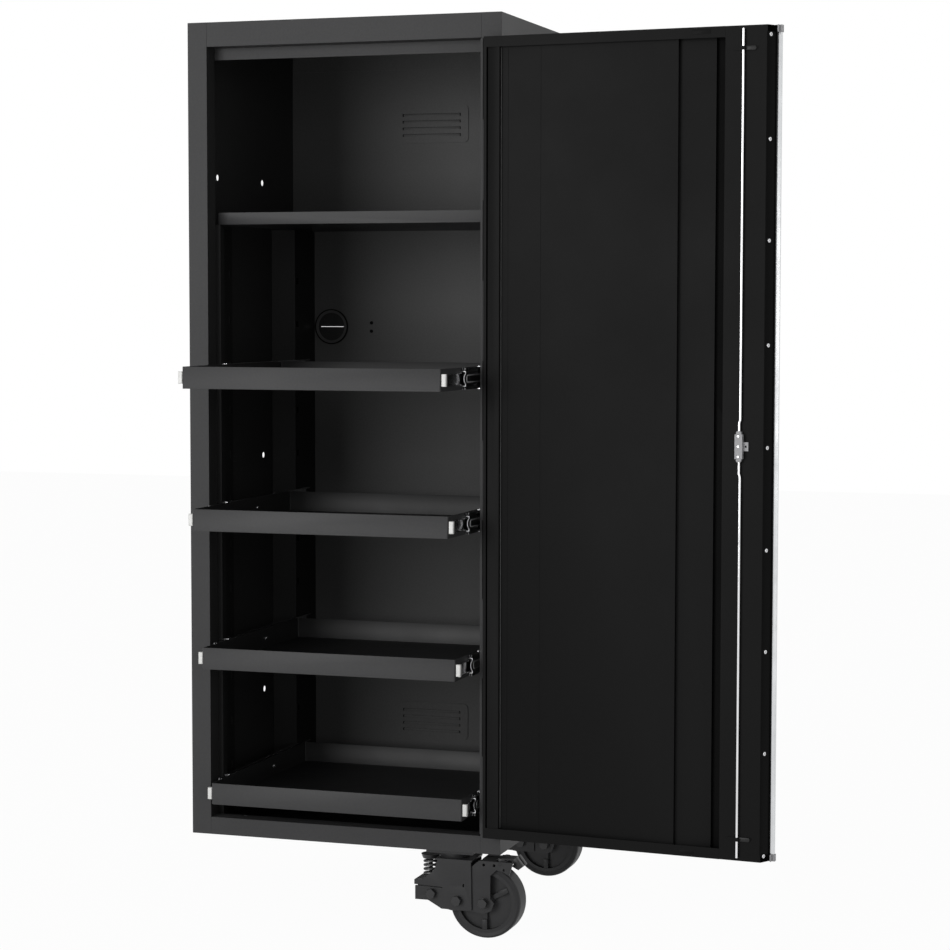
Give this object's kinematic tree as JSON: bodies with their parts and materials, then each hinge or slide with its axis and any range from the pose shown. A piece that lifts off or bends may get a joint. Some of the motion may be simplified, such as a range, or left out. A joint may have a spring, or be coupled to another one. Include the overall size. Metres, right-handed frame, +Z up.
{
  "type": "tool chest side locker",
  "caption": "Tall steel side locker for a tool chest, with a full-height hinged door, a shelf, roll-out trays on ball slides and sprung swivel casters.",
  "frame": {"origin": "centre of the four outer chest bolt holes, in the outer face of the left side", "axes": "+Z up, +X from the left side to the right side, -Y out of the open front"},
  "size_m": [1.2536, 0.8255, 1.867],
  "materials": {
    "cabinet_paint": "satin dark grey powder coat",
    "tray_paint": "satin dark grey powder coat",
    "caster_paint": "satin dark grey coat",
    "slide_steel": "bright zinc plate",
    "bright_steel": "bright plate",
    "spring_steel": "dark bright spring wire",
    "handle_metal": "bright satin",
    "grey_plastic": "matte",
    "black_plastic": "matte",
    "black_rubber": "matte",
    "white_plastic": "matte nylon",
    "wheel_plastic": "satin",
    "wheel_tread": "matte"
  },
  "bodies": {
    "cabinet": {"left_side_panel": "cabinet_paint", "right_side_panel": "cabinet_paint", "back_panel": "cabinet_paint", "roof_panel": "cabinet_paint", "floor_panel": "cabinet_paint", "top_rail": "cabinet_paint", "bottom_rail": "cabinet_paint", "left_uprights": "cabinet_paint", "right_uprights": "cabinet_paint", "shelf": "cabinet_paint", "cable_grommet": "black_rubber", "hinge_cabinet_leaf": "cabinet_paint", "hinge_pin": "bright_steel", "slide_outer_members": "slide_steel", "front_mount_plate": "caster_paint", "rear_mount_plate": "caster_paint"},
    "door": {"door_skin": "cabinet_paint", "door_liner": "cabinet_paint", "latch_channel": "cabinet_paint", "door_handle": "handle_metal", "handle_caps": "grey_plastic", "rod_guides": "black_plastic", "latch_case": "grey_plastic", "hinge_door_leaf": "cabinet_paint"},
    "lock": {"lock_cylinder": "bright_steel"},
    "upper_rod": {"rod_upper": "bright_steel"},
    "lower_rod": {"rod_lower": "bright_steel"},
    "tray_1": {"tray_1": "tray_paint", "slide_inner_1": "slide_steel", "catches_1": "white_plastic"},
    "slide_middle_1": {"slide_middle_1": "slide_steel"},
    "tray_2": {"tray_2": "tray_paint", "slide_inner_2": "slide_steel", "catches_2": "white_plastic"},
    "slide_middle_2": {"slide_middle_2": "slide_steel"},
    "tray_3": {"tray_3": "tray_paint", "slide_inner_3": "slide_steel", "catches_3": "white_plastic"},
    "slide_middle_3": {"slide_middle_3": "slide_steel"},
    "tray_4": {"tray_4": "tray_paint", "slide_inner_4": "slide_steel", "catches_4": "white_plastic"},
    "slide_middle_4": {"slide_middle_4": "slide_steel"},
    "front_fork": {"front_yoke": "caster_paint", "front_spring": "spring_steel"},
    "front_arm": {"front_swing_arm": "caster_paint", "front_arm_bolts": "caster_paint"},
    "front_wheel": {"front_wheel_hub": "wheel_plastic", "front_wheel_tread": "wheel_tread"},
    "front_spring_rod": {"front_spring_rod": "bright_steel"},
    "front_pedal": {"front_brake_pedal": "caster_paint"},
    "rear_fork": {"rear_yoke": "caster_paint", "rear_spring": "spring_steel"},
    "rear_arm": {"rear_swing_arm": "caster_paint", "rear_arm_bolts": "caster_paint"},
    "rear_wheel": {"rear_wheel_hub": "wheel_plastic", "rear_wheel_tread": "wheel_tread"},
    "rear_spring_rod": {"rear_spring_rod": "bright_steel"},
    "rear_pedal": {"rear_brake_pedal": "caster_paint"}
  },
  "joints": [
    {"name": "door_hinge", "type": "hinge", "parent": "cabinet", "child": "door", "pos_m": [0.646, -0.27, 0.0255], "axis": [0, 0, 1], "range_deg": [-44, 3]},
    {"name": "lock_turn", "type": "hinge", "parent": "door", "child": "lock", "pos_m": [1.18416, -0.31466, 0.0275], "axis": [-0.0753, -0.9972, 0], "range_deg": [0, 90.5]},
    {"name": "upper_rod_slide", "type": "slide", "parent": "door", "child": "upper_rod", "axis": [0, 0, 1], "range_m": [0, 0.015]},
    {"name": "lower_rod_slide", "type": "slide", "parent": "door", "child": "lower_rod", "axis": [0, 0, -1], "range_m": [0, 0.0151]},
    {"name": "tray_1_slide", "type": "slide", "parent": "cabinet", "child": "tray_1", "axis": [0, -1, 0], "range_m": [-0.224, 0.216]},
    {"name": "slide_middle_1_slide", "type": "slide", "parent": "cabinet", "child": "slide_middle_1", "axis": [0, -1, 0], "range_m": [-0.112, 0.108]},
    {"name": "tray_2_slide", "type": "slide", "parent": "cabinet", "child": "tray_2", "axis": [0, -1, 0], "range_m": [-0.179, 0.261]},
    {"name": "slide_middle_2_slide", "type": "slide", "parent": "cabinet", "child": "slide_middle_2", "axis": [0, -1, 0], "range_m": [-0.0895, 0.1305]},
    {"name": "tray_3_slide", "type": "slide", "parent": "cabinet", "child": "tray_3", "axis": [0, -1, 0], "range_m": [-0.1344, 0.3056]},
    {"name": "slide_middle_3_slide", "type": "slide", "parent": "cabinet", "child": "slide_middle_3", "axis": [0, -1, 0], "range_m": [-0.0672, 0.1528]},
    {"name": "tray_4_slide", "type": "slide", "parent": "cabinet", "child": "tray_4", "axis": [0, -1, 0], "range_m": [-0.0927, 0.3473]},
    {"name": "slide_middle_4_slide", "type": "slide", "parent": "cabinet", "child": "slide_middle_4", "axis": [0, -1, 0], "range_m": [-0.04635, 0.17365]},
    {"name": "front_swivel", "type": "hinge", "parent": "cabinet", "child": "front_fork", "pos_m": [0.571, -0.229, -0.8245], "axis": [0, 0, 1], "continuous": true},
    {"name": "front_arm_pivot", "type": "hinge", "parent": "front_fork", "child": "front_arm", "pos_m": [0.588, -0.229, -0.9145], "axis": [0, -1, 0], "range_deg": [0, 2], "stiffness_Nm_per_rad": 1500, "springref_deg": -2.86},
    {"name": "front_spring_rod_slide", "type": "slide", "parent": "front_fork", "child": "front_spring_rod", "axis": [0, 0, -1], "range_m": [0, 0.00195], "deforming": ["front_spring"]},
    {"name": "front_wheel_spin", "type": "hinge", "parent": "front_arm", "child": "front_wheel", "pos_m": [0.643, -0.229, -0.9165], "axis": [0, 1, 0], "continuous": true},
    {"name": "front_pedal_pivot", "type": "hinge", "parent": "front_arm", "child": "front_pedal", "pos_m": [0.678, -0.229, -0.8355], "axis": [0, 1, 0], "range_deg": [0, 6]},
    {"name": "rear_swivel", "type": "hinge", "parent": "cabinet", "child": "rear_fork", "pos_m": [0.533, 0.337, -0.8245], "axis": [0, 0, 1], "continuous": true},
    {"name": "rear_arm_pivot", "type": "hinge", "parent": "rear_fork", "child": "rear_arm", "pos_m": [0.55, 0.337, -0.9145], "axis": [0, -1, 0], "range_deg": [0, 2], "stiffness_Nm_per_rad": 1500, "springref_deg": -2.86},
    {"name": "rear_spring_rod_slide", "type": "slide", "parent": "rear_fork", "child": "rear_spring_rod", "axis": [0, 0, -1], "range_m": [0, 0.00195], "deforming": ["rear_spring"]},
    {"name": "rear_wheel_spin", "type": "hinge", "parent": "rear_arm", "child": "rear_wheel", "pos_m": [0.605, 0.337, -0.9165], "axis": [0, 1, 0], "continuous": true},
    {"name": "rear_pedal_pivot", "type": "hinge", "parent": "rear_arm", "child": "rear_pedal", "pos_m": [0.64, 0.337, -0.8355], "axis": [0, 1, 0], "range_deg": [0, 6]}
  ],
  "couplings": [
    {"joint": "lock_turn", "follows": "upper_rod_slide", "rad_per_m": 104.72},
    {"joint": "lower_rod_slide", "follows": "upper_rod_slide", "ratio": 1},
    {"joint": "slide_middle_1_slide", "follows": "tray_1_slide", "ratio": 0.5},
    {"joint": "slide_middle_2_slide", "follows": "tray_2_slide", "ratio": 0.5},
    {"joint": "slide_middle_3_slide", "follows": "tray_3_slide", "ratio": 0.5},
    {"joint": "slide_middle_4_slide", "follows": "tray_4_slide", "ratio": 0.5},
    {"joint": "front_spring_rod_slide", "follows": "front_arm_pivot", "m_per_rad": 0.055},
    {"joint": "rear_spring_rod_slide", "follows": "rear_arm_pivot", "m_per_rad": 0.055}
  ]
}
